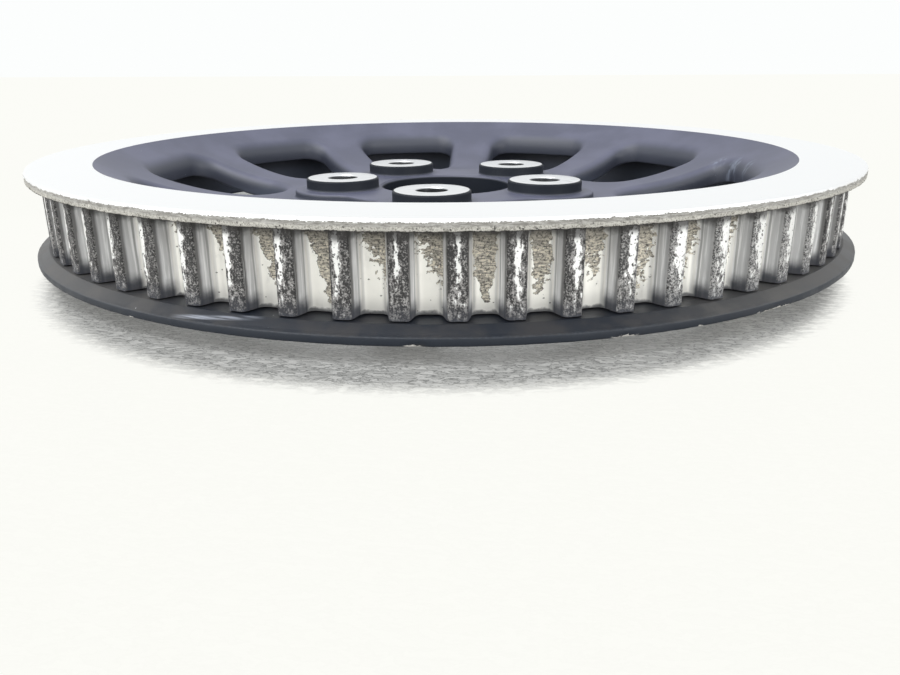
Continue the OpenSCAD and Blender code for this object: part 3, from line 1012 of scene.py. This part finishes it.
@dataclass
class Web:
    """The dished web with its windows, and the hub with its bolt bosses."""

    wheel: WheelSizes
    windows: int = 10
    bolts: int = 5
    hub_radius: float = 62.0
    hub_end: float = 66.0
    top: float = 17.3
    thickness: float = 8.0
    window_in: float = 69.0
    window_end: float = 17.0
    window_margin: float = 13.25
    window_corner: float = 7.5
    spoke: float = 22.0
    top_round: float = 4.5
    under_round: float = 1.5
    middle: float = 94.0
    side_steps: int = 36
    rim_steps: int = 72
    hub_steps: int = 48
    plateau_top: float = 20.3
    plateau_radius: float = 46.0
    lobe: float = 18.5
    lobe_hollow: float = 8.0
    plateau_round: float = 1.1
    bolt_circle: float = 41.275
    boss: float = 14.0
    boss_top: float = 24.4
    boss_round: float = 0.7
    boss_fillet: float = 0.6
    boss_flat: float = 3.5
    bolt: float = 5.65
    bolt_bevel: float = 0.5
    bore: float = 25.4
    bore_bevel: float = 1.0
    rear_bevel: float = 0.8
    foot_round: float = 0.6
    split_steps: int = 6

    @property
    def half_turn(self) -> float:
        """Half of one window sector."""
        return 180 / self.windows

    def face(self, points: np.ndarray, below: float = 0.0) -> np.ndarray:
        """Heights of the web's dished top face, or of a surface that lies below it along the dish's radius."""
        run, lift = self.wheel.face_inner - self.hub_end, self.wheel.top - self.top
        dish = (run * run + lift * lift) / (2 * lift)
        out = np.maximum(np.hypot(points[:, 0], points[:, 1]) - self.hub_end, 0)
        return self.top + dish - np.sqrt((dish + below) ** 2 - out**2)

    def window_edge(self, towards: np.ndarray) -> tuple[np.ndarray, np.ndarray]:
        """Edge of the window that points along +X, and its outward direction, where looks towards points cross it."""
        window_out = self.wheel.face_inner - self.window_margin
        inner = np.array([self.window_in + self.window_end, 0.0])
        corner_radius = window_out - self.window_corner
        corner_turn = self.half_turn - math.degrees(math.asin((self.spoke / 2 + self.window_corner) / corner_radius))
        corner = polar(corner_radius, corner_turn)
        span = corner - inner
        tangent = math.acos((self.window_end - self.window_corner) / float(np.hypot(*span)))
        lean = math.degrees(math.atan2(span[1], span[0]) + tangent)
        round_in, round_out, rim = sweep(180, lean, 200), sweep(lean, corner_turn, 200), sweep(corner_turn, 0, 200)
        share = sweep(0, 1, 200)[:, None]
        side = (1 - share) * (inner + polar(self.window_end, lean)) + share * (corner + polar(self.window_corner, lean))
        outline = [
            (inner + polar(self.window_end, round_in), polar(1.0, round_in)),
            (side, np.tile(polar(1.0, lean), (len(side), 1))),
            (corner + polar(self.window_corner, round_out), polar(1.0, round_out)),
            (polar(window_out, rim), polar(1.0, rim)),
        ]
        looks = towards - (self.middle, 0.0)
        reach, normal = look_up(outline, self.middle, np.arctan2(looks[:, 1], looks[:, 0]))
        return (self.middle, 0.0) + looks / np.hypot(*looks.T)[:, None] * reach, normal

    def sector_border(self, outer: float) -> np.ndarray:
        """Border of the window sector: hub arc, lower side, rim arc and upper side."""
        half, share = self.half_turn, sweep(0, 1, self.side_steps)[:-1]
        span = outer - self.hub_radius
        return np.concatenate(
            [
                polar(self.hub_radius, sweep(half, -half, self.hub_steps)[:-1]),
                polar(self.hub_radius + share * span, -half),
                polar(outer, sweep(-half, half, self.rim_steps)[:-1]),
                polar(self.hub_radius + (1 - share) * span, half),
            ]
        )

    def window_sector(self) -> Draft:
        """One window with the web round it, and its part of the rim's inner wall."""
        draft, wheel = Draft(), self.wheel
        wall, inner, foot = wheel.floor - wheel.rim_wall, wheel.inner_wall, wheel.foot
        border, under_border = self.sector_border(wheel.face_inner), self.sector_border(wall)
        edge, normal = self.window_edge(border)
        rows = []
        start = edge + normal * self.top_round
        for share in (1, 0.82, 0.64, 0.47, 0.31, 0.17, 0.06):
            points = start + (border - start) * share
            rows.append(draft.row(points, self.face(points)))
        for out, drop in rounding(7):
            points = edge + normal * self.top_round * out
            rows.append(draft.row(points, self.face(points) - self.top_round * drop))
        for climb, out in rounding(3):
            points = edge + normal * self.under_round * out
            rows.append(draft.row(points, self.face(points, self.thickness) + self.under_round * climb))
        start = edge + normal * self.under_round
        for share in (0.3, 0.65, 1):
            points = start + (under_border - start) * share
            rows.append(draft.row(points, self.face(points, self.thickness)))
        draft.stack(rows, closed=True)
        first = self.hub_steps + self.side_steps
        rim, turns = slice(first, first + self.rim_steps + 1), sweep(-self.half_turn, self.half_turn, self.rim_steps)
        outside = ((wall, 20.0), (wall, 12.0), (wall, foot + self.foot_round), (wall + self.foot_round, foot))
        down = [
            draft.row(polar(radius, turns), height)
            for radius, height in (*outside, (inner, foot), (inner, wheel.inner_top))
        ]
        draft.stack([rows[-1][rim], *down, rows[0][rim]])
        return draft

    def plateau_edge(self, turns: np.ndarray) -> tuple[np.ndarray, np.ndarray]:
        """Edge of the hub's plateau at the given turns from a bolt hole, and its outward direction."""
        far, reach = self.plateau_radius + self.lobe_hollow, self.lobe + self.lobe_hollow
        hollow_turn = math.degrees(math.acos((far**2 + self.bolt_circle**2 - reach**2) / (2 * far * self.bolt_circle)))
        hollow = polar(far, hollow_turn)
        lobe_turn = math.degrees(math.atan2(hollow[1], hollow[0] - self.bolt_circle))
        lobe, bend = sweep(0, lobe_turn, 300), sweep(180 + lobe_turn, 180 + hollow_turn, 200)
        disc = sweep(hollow_turn, 180 / self.bolts + 2, 50)
        outline = [
            ((self.bolt_circle, 0.0) + polar(self.lobe, lobe), polar(1.0, lobe)),
            (hollow + polar(self.lobe_hollow, bend), -polar(1.0, bend)),
            (polar(self.plateau_radius, disc), polar(1.0, disc)),
        ]
        distance, normal = look_up(outline, 0.0, np.radians(turns))
        return polar(distance[:, 0], turns), normal

    def hub_sector(self) -> Draft:
        """A fifth of the hub: the step up to the plateau, one boss with its bolt hole, and the rear face."""
        draft, centre = Draft(), np.array([self.bolt_circle, 0.0])
        half, count = 180 / self.bolts, self.hub_steps * self.windows // self.bolts
        turns = sweep(-half, half, count)
        edge, normal = self.plateau_edge(turns)
        outer, foot = polar(self.hub_radius, turns), edge + normal * self.plateau_round
        step = [draft.row(outer, self.top), draft.row((outer + foot) / 2, self.top)]
        for out, lift in rounding(3):
            points = edge + normal * self.plateau_round * out
            step.append(draft.row(points, self.top + self.plateau_round * lift))
        for drop, back in rounding(4):
            points = edge - normal * self.plateau_round * back
            step.append(draft.row(points, self.plateau_top - self.plateau_round * drop))
        draft.stack(step)
        loop, numbers = self._split_loop(draft, edge - normal * self.plateau_round, step[-1], turns, self.plateau_top)
        look = loop - centre
        way = look / np.hypot(*look.T)[:, None]
        boss_foot = centre + way * (self.boss + self.boss_fillet)
        rows = [numbers]
        for share in (0.55, 0.2, 0):
            rows.append(draft.row(boss_foot + (loop - boss_foot) * share, self.plateau_top))
        for out, lift in rounding(2)[1:]:
            points = centre + way * (self.boss + self.boss_fillet * out)
            rows.append(draft.row(points, self.plateau_top + self.boss_fillet * lift))
        for drop, back in rounding(3):
            points = centre + way * (self.boss - self.boss_round * back)
            rows.append(draft.row(points, self.boss_top - self.boss_round * drop))
        draft.stack(rows, closed=True)
        bare, wide, bevel = [rows[-1]], self.bolt + self.bolt_bevel, self.bolt_bevel
        hole = ((self.boss - self.boss_flat, self.boss_top), (wide, self.boss_top), (self.bolt, self.boss_top - bevel))
        for radius, height in (*hole, (self.bolt, 12.0), (self.bolt, bevel), (wide, 0.0)):
            bare.append(draft.row(centre + way * radius, height))
        rear = polar(self.hub_radius - self.rear_bevel, turns)
        rear_edge = draft.row(rear, 0.0)
        rear_loop, rear_numbers = self._split_loop(draft, rear, rear_edge, turns, 0.0)
        bare += [draft.row((centre + way * wide + rear_loop) / 2, 0.0), rear_numbers]
        draft.stack(bare, closed=True, bare=True)
        wall = [draft.row(outer, height) for height in (self.top - self.thickness, 5.0, self.rear_bevel)]
        draft.stack([*wall, rear_edge])
        inner = slice(count + self.split_steps, 2 * count + self.split_steps + 1)
        bore = polar(self.bore, turns[::-1])
        levels = (self.plateau_top - self.bore_bevel, 13.0, 7.0, self.bore_bevel)
        draft.stack([numbers[inner], *(draft.row(bore, height) for height in levels), rear_numbers[inner]])
        return draft

    def _split_loop(
        self, draft: Draft, outer: np.ndarray, numbers: np.ndarray, turns: np.ndarray, height: float
    ) -> tuple[np.ndarray, np.ndarray]:
        """Closes an outer row to a loop along the sector's two sides and round the bore.

        Args:
            draft: the mesh that takes the new points.
            outer: plane points of the outer row.
            numbers: the outer row's numbers.
            turns: turn of each point of the outer row.
            height: height of the loop.

        Returns:
            The loop's plane points and its numbers.
        """
        reach, inner = float(np.hypot(*outer[0])), self.bore + self.bore_bevel
        between = reach + (inner - reach) * sweep(0, 1, self.split_steps)[1:-1]
        added = np.concatenate([polar(between, turns[-1]), polar(inner, turns[::-1]), polar(between[::-1], turns[0])])
        return np.concatenate([outer, added]), np.concatenate([numbers, draft.row(added, height)])

    def build(self, ring: SectorRing, finish: bpy.types.Material, bare: bpy.types.Material) -> bpy.types.Object:
        """The web and the hub as one piece."""
        piece = ring.grow(
            "wheel_web", self.window_sector(), self.hub_sector(),
            Copies=self.windows, First_turn=self.wheel.front + self.half_turn,
            Second_copies=self.bolts, Second_turn=self.wheel.front, Finish=finish, Bare_finish=bare,
        )
        seal(piece, sharp=40)
        return piece


class PeelSide(Enum):
    """The side of a groove that a peeled patch keeps to, as a sign across the groove."""

    MIDDLE = 0
    RIGHT = 1


@dataclass(frozen=True)
class Peel:
    """A peeled patch in one groove: which groove, counted from the front, and how far down it reaches."""

    groove: int
    length: float
    scatter: float
    side: PeelSide


@dataclass(frozen=True)
class CrestWearAndHighlight:
    """Where a crest is worn bright, in a strip that is also a painted highlight: which tooth, counted from the front,
    how far off its middle, how wide and how strong.
    """

    tooth: int
    place: float
    width: float
    share: float


@dataclass
class ToothedBand:
    """The belt track: all the teeth, from their feet up into the outer flange."""

    wheel: WheelSizes
    crest_width: float = 4.7
    flank_angle: float = 13.0
    root_round: float = 2.1
    crest_round: float = 0.8
    foot_gap: float = 0.4
    core: float = 138.3
    overlap: float = 0.01
    rows: int = 18
    wear_depth: float = 0.16
    wear_grain: float = 1.3
    peels: tuple[Peel, ...] = tuple(
        Peel(*row, side)
        for side, rows in {
            PeelSide.RIGHT: (
                (-6, 0.26, 0.35), (-5, 0.38, 0.35), (-4, 0.56, 0.30), (-3, 0.70, 0.30),
                (-2, 0.90, 0.25), (-1, 0.92, 0.25), (0, 0.52, 0.80), (1, 0.54, 0.85),
            ),
            PeelSide.MIDDLE: (
                (2, 0.84, 0.25), (3, 0.74, 0.40), (4, 0.54, 0.85), (5, 0.66, 1.05), (6, 0.62, 1.05),
                (7, 0.66, 1.00), (8, 0.50, 0.95), (9, 0.34, 0.80), (10, 0.22, 0.60),
            ),
        }.items()
        for row in rows
    )
    # Each crest's bright strip, worn metal and a painted highlight, runs from the left edge of the crests left of the
    # front to the right edge of those on the right.
    crests: tuple[CrestWearAndHighlight, ...] = tuple(
        CrestWearAndHighlight(*row)
        for row in (
            (-9, -1.6, 1.1, 0.36), (-8, -1.6, 1.1, 0.36), (-7, -1.5, 1.2, 0.36), (-6, -1.5, 1.3, 0.36),
            (-5, -1.45, 1.3, 0.36), (-4, -1.4, 1.3, 0.35), (-3, -1.25, 1.2, 0.32), (-2, -1.0, 1.1, 0.29),
            (-1, -0.6, 1.0, 0.27), (0, -0.3, 0.95, 0.27), (1, 0.0, 1.15, 0.28), (2, 0.2, 1.3, 0.28),
            (3, 0.5, 1.5, 0.28), (4, 0.7, 1.9, 0.3), (5, 0.9, 2.5, 0.32), (6, 1.1, 2.8, 0.34),
            (7, 1.2, 2.9, 0.36), (8, 1.3, 2.8, 0.36), (9, 1.4, 2.6, 0.36),
        )
    )
    hidden_seed: int = 11

    def flank_turn(self, radius: float, off: float) -> float:
        """Turn of the centre of a circle that touches a flank.

        Args:
            radius: the centre's distance from the wheel's axis.
            off: the circle's radius, negative for a circle inside the tooth.
        """
        lean = math.radians(self.flank_angle)
        reach = off + self.wheel.tip * math.sin(lean) + self.crest_width / 2 * math.cos(lean)
        return math.degrees(math.asin(reach / radius)) - self.flank_angle

    def profile(self) -> tuple[np.ndarray, np.ndarray]:
        """One tooth that points along +X, from groove middle to groove middle, with the wear of each point."""
        floor, tip, half = self.wheel.floor, self.wheel.tip, 180 / self.wheel.teeth
        foot, head, angle = floor + self.root_round, tip - self.crest_round, self.flank_angle
        root, crest = self.flank_turn(foot, self.root_round), self.flank_turn(head, -self.crest_round)
        root_arc = polar(foot, root) + polar(self.root_round, sweep(root + 180, 270 - angle, 6))
        crest_arc = polar(head, crest) + polar(self.crest_round, sweep(90 - angle, crest, 4))
        flank = root_arc[-1] + (crest_arc[0] - root_arc[-1]) * np.array([0.25, 0.5, 0.75])[:, None]
        gap = polar(floor, sweep(half, root, 4)[:-1])
        top = polar(tip, sweep(math.degrees(math.atan2(crest_arc[-1, 1], crest_arc[-1, 0])), 0, 4)[1:])
        upper = np.concatenate([gap, root_arc, flank, crest_arc, top])
        wear = [0.1] * (len(gap) + len(root_arc)) + [0.15, 0.2, 0.5] + [1.0] * len(crest_arc) + [0.45] * len(top)
        lower = (upper * (1.0, -1.0))[::-1][1:]
        return np.concatenate([upper, lower])[::-1], np.array(wear + wear[::-1][1:])[::-1]

    def sector(self) -> Draft:
        """One tooth between two groove middles, closed above, below and inside."""
        draft, (points, wear) = Draft(), self.profile()
        inner = polar(self.core, np.degrees(np.arctan2(points[:, 1], points[:, 0])))
        low, high = self.wheel.seat + self.foot_gap, self.wheel.flange_under - self.overlap
        rows = [draft.row(inner, low)]
        rows += [draft.row(points, height, wear) for height in sweep(low, high, self.rows)]
        rows.append(draft.row(inner, high))
        draft.stack(rows + rows[:1])
        return draft

    def build(self, ring: SectorRing, finish: bpy.types.Material) -> bpy.types.Object:
        """The whole track, with each groove's patch and each crest's worn strip, which is also a painted highlight,
        stored on its points.
        """
        piece = ring.grow(
            "toothed_band", self.sector(),
            Copies=self.wheel.teeth, First_turn=self.wheel.front + 180 / self.wheel.teeth,
            Wear_depth=self.wear_depth * METRE, Wear_grain=self.wear_grain * METRE, Finish=finish,
        )
        seal(piece, sharp=35)
        self._store_wear(piece.data)
        return piece

    def _store_wear(self, mesh: bpy.types.Mesh) -> None:
        """Writes each groove's patch and each crest's worn strip and painted highlight on the points next to it."""
        teeth, chance = self.wheel.teeth, np.random.default_rng(self.hidden_seed)
        grooves = {"peel": chance.uniform(0.0, 0.25, teeth), "side": np.zeros(teeth), "scatter": np.full(teeth, 0.4)}
        grooves["peel"][grooves["peel"] < 0.1] = 0.0
        crests = {"worn_at": chance.uniform(-1.2, 1.2, teeth), "worn_width": chance.uniform(1.2, 2.0, teeth)}
        crests["worn_share"] = np.full(teeth, 0.30)
        for peel in self.peels:
            for values, value in zip(grooves.values(), (peel.length, peel.side.value, peel.scatter)):
                values[peel.groove % teeth] = value
        for crest in self.crests:
            for values, value in zip(crests.values(), (crest.place, crest.width, crest.share)):
                values[crest.tooth % teeth] = value
        places = places_of(mesh)
        turn = (np.degrees(np.arctan2(places[:, 1], places[:, 0])) - self.wheel.front) * teeth / 360
        for table, index in ((grooves, np.rint(turn)), (crests, np.floor(turn))):
            for name, values in table.items():
                held = values[index.astype(int) % teeth].astype(np.float32)
                mesh.attributes.new(name, "FLOAT", "POINT").data.foreach_set("value", held)


@dataclass
class TurnedPart:
    """A part of the rim that is turned round the wheel's axis from a closed half section."""

    wheel: WheelSizes
    name: str = "turned_part"
    copies: int = 72
    steps: int = 24
    wear_depth: float = 0.1
    wear_grain: float = 1.0
    knocks: tuple[Knock, ...] = ()
    knocked_width: float = 1.2

    def section(self) -> list[Triple]:
        """Radius, height and wear of each point, anticlockwise."""
        raise NotImplementedError

    def build(self, ring: SectorRing, finish: bpy.types.Material) -> bpy.types.Object:
        """The part as one turned piece with a knocked edge."""
        draft, turns, section = Draft(), sweep(0, 360 / self.copies, self.steps), self.section()
        rows = [draft.row(polar(radius, turns), height, wear) for radius, height, wear in section]
        draft.stack(rows + rows[:1])
        wear = {"Wear_depth": self.wear_depth * METRE, "Wear_grain": self.wear_grain * METRE}
        piece = ring.grow(self.name, draft, Copies=self.copies, Finish=finish, **wear)
        knock(piece.data, self.knocks, max(radius for radius, _, _ in section) - self.knocked_width)
        seal(piece, sharp=30)
        return piece


@dataclass
class OuterFlange(TurnedPart):
    """The outer flange with the machined face, and the rim's core down to the ring's spigot."""

    name: str = "outer_flange"
    wear_depth: float = 0.26
    wear_grain: float = 1.7
    knocks: tuple[Knock, ...] = (
        Knock(-120.75, 33.6, 1.3, 0.60, 1.0),
        Knock(-114.4, 33.7, 0.9, 0.45, 0.9),
        Knock(-131.0, 33.9, 1.0, 0.35, 0.9),
        Knock(-99.0, 33.9, 0.8, 0.25),
        Knock(-63.0, 33.8, 0.9, 0.30),
    )
    corner: float = 0.8
    foot_bevel: float = 0.8
    core_wall: float = 8.0
    edge_round: float = 0.4
    face_lead: float = 1.5
    burrs: int = 260
    burr_seed: int = 5

    def __post_init__(self) -> None:
        """Adds small dents and burrs all round the edge's two corners."""
        chance = np.random.default_rng(self.burr_seed)
        levels = (self.wheel.top - self.corner, self.wheel.flange_under + 0.3)
        self.knocks += tuple(
            Knock(
                chance.uniform(-180, 180), levels[i % 2] + chance.uniform(-0.2, 0.2), chance.uniform(0.4, 1.4),
                chance.uniform(-0.25, 0.35), chance.uniform(0.35, 0.8),
            )
            for i in range(self.burrs)
        )

    def section(self) -> list[Triple]:
        """The core's foot and shoulder, the belt side, the edge and the machined face."""
        wheel, corner = self.wheel, self.corner
        spigot = wheel.floor - wheel.spigot_step
        core, outer, top, under = spigot + wheel.shoulder, wheel.flange, wheel.top, wheel.flange_under
        points = [
            (wheel.inner_wall, wheel.foot, 0.0),
            (spigot - self.foot_bevel, wheel.foot, 0.0),
            (spigot, wheel.foot + self.foot_bevel, 0.0),
            (spigot, wheel.seat, 0.0),
            (core, wheel.seat, 0.0),
            (core, wheel.seat + self.core_wall, 0.0),
            (core, under - (outer - core) * wheel.slope, 0.0),
        ]
        belt_side = sweep(core, outer - self.edge_round, 6)[1:]
        points += [(radius, under - (outer - radius) * wheel.slope, 0.2) for radius in belt_side]
        points.append((outer - 0.12, under + 0.03, 0.8))
        points += [(outer, height, 1.0) for height in sweep(under + 0.22, top - corner, 7)]
        for angle in (22, 45, 67, 90):
            back, drop = 1 - math.cos(math.radians(angle)), 1 - math.sin(math.radians(angle))
            points.append((outer - corner * back, top - corner * drop, 0.7 * (1 - angle / 90) + 0.1))
        points += [(radius, top, 0.0) for radius in sweep(outer - corner - self.face_lead, wheel.face_inner, 5)]
        return points + [(wheel.inner_wall, wheel.inner_top, 0.0)]


@dataclass
class FlangeRing(TurnedPart):
    """The black ring that is pressed on the rim's spigot."""

    name: str = "inner_flange_ring"
    steps: int = 12
    wear_depth: float = 0.10
    wear_grain: float = 3.0
    knocks: tuple[Knock, ...] = (
        Knock(-85.6, 5.2, 3.4, 0.40, 1.0),
        Knock(-66.4, 5.1, 2.6, 0.30, 0.9),
        Knock(-47.6, 5.1, 6.0, 0.35, 0.8),
        Knock(-116.1, 6.6, 0.9, 0.30, 0.9),
        Knock(-23.4, 6.9, 0.8, -0.18, 0.6),
    )
    knocked_width: float = 1.5
    reach: float = 4.5
    fall: float = 2.0
    bevel: float = 0.6
    fit: float = 0.05

    def section(self) -> list[Triple]:
        """The foot, the rounded edge, the sloped top and the flat seat."""
        wheel, bevel = self.wheel, self.bevel
        inner, outer = wheel.floor - wheel.spigot_step + self.fit, wheel.tip + self.reach
        flat, edge_top, foot = wheel.tip + bevel, wheel.seat - self.fall, wheel.foot
        points = [(inner, foot, 0.0)] + [(radius, foot, 0.2) for radius in sweep(inner, outer - bevel, 3)[1:]]
        points += [
            (outer - bevel * (1 - math.cos(turn)), foot + bevel * (1 + math.sin(turn)), 1.0)
            for turn in np.radians((-60, -30, 0))
        ]
        points.append((outer, (foot + edge_top) / 2, 0.5))
        for turn in np.radians((0, 30, 60, 84)):
            points.append((outer - bevel * (1 - math.cos(turn)), edge_top - bevel * (1 - math.sin(turn)), 0.6))
        for share in (0.25, 0.5, 0.75, 1):
            radius = outer - bevel + (flat - outer + bevel) * share
            points.append((radius, edge_top + (wheel.seat - edge_top) * share, 0.1))
        return points + [(radius, wheel.seat, 0.0) for radius in sweep(flat, inner, 3)[1:]]


# The studio


@dataclass(frozen=True)
class Lamp:
    """A soft square lamp that points at the wheel."""

    name: str
    power: float
    size: float
    place: Triple


@dataclass
class Studio:
    """The table, the light and the camera."""

    lens: float = 32.077
    sensor: float = 36.0
    clip: tuple[float, float] = (0.01, 50.0)
    eye: Triple = (40.72, -322.2, 68.32)
    yaw: float = 7.02
    pitch: float = 19.251
    roll: float = -0.37
    table_size: float = 6000.0
    wall: Colour = (0.975, 0.99, 0.985)
    world_light: float = 0.76
    front_light: float = 1.5
    lamps: tuple[Lamp, ...] = (
        Lamp("softbox", 6.0, 700.0, (-350.0, -300.0, 900.0)),
        Lamp("left_fill", 1.25, 500.0, (-480.0, -460.0, 150.0)),
        Lamp("right_fill", 1.7, 500.0, (500.0, -440.0, 150.0)),
    )

    def camera(self) -> None:
        """Stands the camera where the photographer's was."""
        yaw, pitch, roll = (math.radians(v) for v in (self.yaw, self.pitch, self.roll))
        level = Vector((math.cos(yaw), math.sin(yaw), 0))
        ahead = Vector((-math.sin(yaw) * math.cos(pitch), math.cos(yaw) * math.cos(pitch), -math.sin(pitch)))
        upright = level.cross(ahead)
        right = level * math.cos(roll) + upright * math.sin(roll)
        up = upright * math.cos(roll) - level * math.sin(roll)
        data = bpy.data.cameras.new("camera")
        data.lens, data.sensor_width = self.lens, self.sensor
        data.clip_start, data.clip_end = self.clip
        made, turned = add("camera", data), Matrix((right, up, -ahead)).transposed().to_4x4()
        made.matrix_world = Matrix.Translation(Vector(self.eye) * METRE) @ turned
        bpy.context.scene.camera = made

    def world(self) -> None:
        """Studio light, stronger from the front than from the back, seen as plain white by the camera."""
        world = bpy.data.worlds.new("studio")
        world.use_nodes = True
        world.node_tree.nodes.clear()
        graph = Graph(world.node_tree)
        ahead = graph.split(graph.where("Generated"))[1].rise(-0.2, 0.5)
        light = graph.ray("Is Glossy Ray").blend(self.world_light, 1.0) * ahead.blend(self.front_light, 1.0)
        feeds = {"Color": self.wall, "Strength": graph.ray("Is Camera Ray").blend(light, 1.0)}
        graph.node("ShaderNodeOutputWorld", {"Surface": graph.node("ShaderNodeBackground", feeds).outputs[0]})
        bpy.context.scene.world = world

    def light(self) -> None:
        """One large soft lamp, high on the left, and a weak one low at each side of the camera."""
        for lamp in self.lamps:
            data = bpy.data.lights.new(lamp.name, "AREA")
            data.energy, data.size = lamp.power, lamp.size * METRE
            made, place = add(lamp.name, data), Vector(lamp.place) * METRE
            made.location = place
            made.rotation_euler = (-place).to_track_quat("-Z", "Y").to_euler()

    def table(self, finish: bpy.types.Material) -> None:
        """The glossy table under the wheel."""
        half = self.table_size / 2 * METRE
        mesh = bpy.data.meshes.new("table")
        mesh.from_pydata([(-half, -half, 0), (half, -half, 0), (half, half, 0), (-half, half, 0)], [], [(0, 1, 2, 3)])
        mesh.materials.append(finish)
        add("table", mesh)

    def build(self, patterns: Patterns) -> None:
        """Sets the studio up."""
        self.table(TableGloss().material(patterns))
        self.world()
        self.light()
        self.camera()
        bpy.context.scene.view_settings.view_transform = "Standard"


@dataclass
class Pulley:
    """The whole wheel: its web, its track, its outer flange and its ring."""

    wheel: WheelSizes = field(default_factory=WheelSizes)

    def build(self, patterns: Patterns) -> None:
        """Makes every piece and sets it in its node's place."""
        ring, wheel = SectorRing(), self.wheel
        paint, metal = WebPaint().material(patterns), BareMetal().material(patterns)
        web = Web(wheel).build(ring, paint, metal)
        band = ToothedBand(wheel).build(ring, TrackMetal().material(patterns))
        flange = OuterFlange(wheel).build(ring, FlangeMetal().material(patterns))
        lower = FlangeRing(wheel).build(ring, RingBlack().material(patterns))
        for piece, node, slot in (
            (web, "pulley", "web_paint"),
            (band, "pulley", "cast_aluminium"),
            (flange, "pulley", "cast_aluminium"),
            (lower, "flange_ring", "black_ring"),
        ):
            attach(piece, "root")
            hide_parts(node)
            LOG.info("%s stands for %s", piece.name, node)


def main() -> None:
    """Builds the wheel and the studio."""
    logging.basicConfig(level=logging.INFO, format="%(name)s: %(message)s")
    patterns = Patterns()
    Pulley().build(patterns)
    Studio().build(patterns)


if __name__ == "__main__":
    main()
